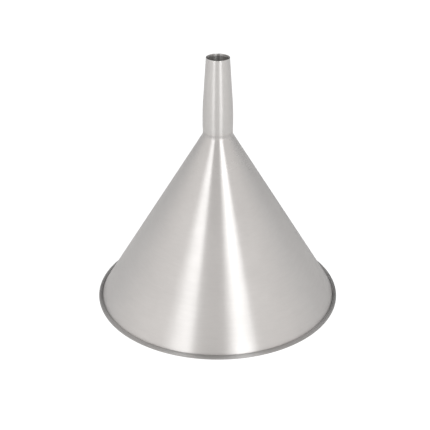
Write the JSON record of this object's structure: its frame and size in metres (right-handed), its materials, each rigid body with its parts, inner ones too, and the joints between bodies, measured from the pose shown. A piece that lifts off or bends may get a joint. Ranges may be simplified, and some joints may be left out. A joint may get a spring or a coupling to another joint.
{
  "type": "kitchen funnel",
  "caption": "Spun satin steel kitchen funnel with a rolled rim and a long, slightly tapered spout, stood on its mouth.",
  "frame": {"origin": "centre of the mouth, on the plane that the bead rests on", "axes": "+Z along the funnel's axis from the mouth to the spout's tip, +Y towards the spout's long seam"},
  "size_m": [0.15, 0.15, 0.155],
  "materials": {
    "cone_steel": "satin stainless, fine turned grain round the axis",
    "spout_steel": "satin stainless, linished round the tube",
    "weld_steel": "weld metal ground nearly flush and polished"
  },
  "bodies": {
    "root": {"cone_shell": "cone_steel", "spout_tube": "spout_steel", "neck_weld": "weld_steel", "spout_seam_weld": "weld_steel"}
  },
  "joints": []
}
